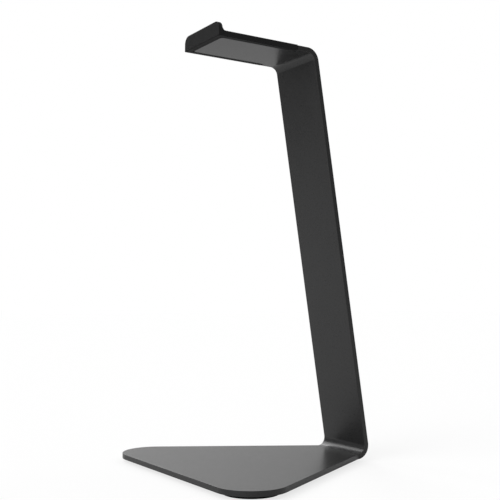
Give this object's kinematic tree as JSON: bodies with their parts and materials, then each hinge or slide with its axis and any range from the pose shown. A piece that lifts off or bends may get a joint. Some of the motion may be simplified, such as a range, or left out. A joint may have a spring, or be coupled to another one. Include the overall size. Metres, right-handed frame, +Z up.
{
  "type": "headphone stand",
  "caption": "Free-standing headphone stand: a bent steel plate with a flared flat base, a forward-leaning post and a level arm with a moulded silicone cover and upturned lip.",
  "frame": {"origin": "middle of the footprint, on the surface that the feet stand on", "axes": "+Z up, -Y to the front, where the arm points over the wide end of the base, +X across the stand; the stand is symmetric about X = 0"},
  "size_m": [0.1482, 0.1272, 0.2548],
  "materials": {
    "coated_steel": "satin powder coat, fine grain, soft broken edges",
    "silicone": "matt moulded silicone",
    "foot_rubber": "matt non-slip rubber",
    "adhesive_film": "double-sided adhesive film, hidden in use"
  },
  "bodies": {
    "root": {"stand_plate": "coated_steel", "headband_cover": "silicone", "cover_bonding_film": "adhesive_film", "foot_pad_front_left": "foot_rubber", "foot_pad_front_right": "foot_rubber", "foot_pad_rear": "foot_rubber", "foot_tape_front_left": "adhesive_film", "foot_tape_front_right": "adhesive_film", "foot_tape_rear": "adhesive_film"}
  },
  "joints": []
}
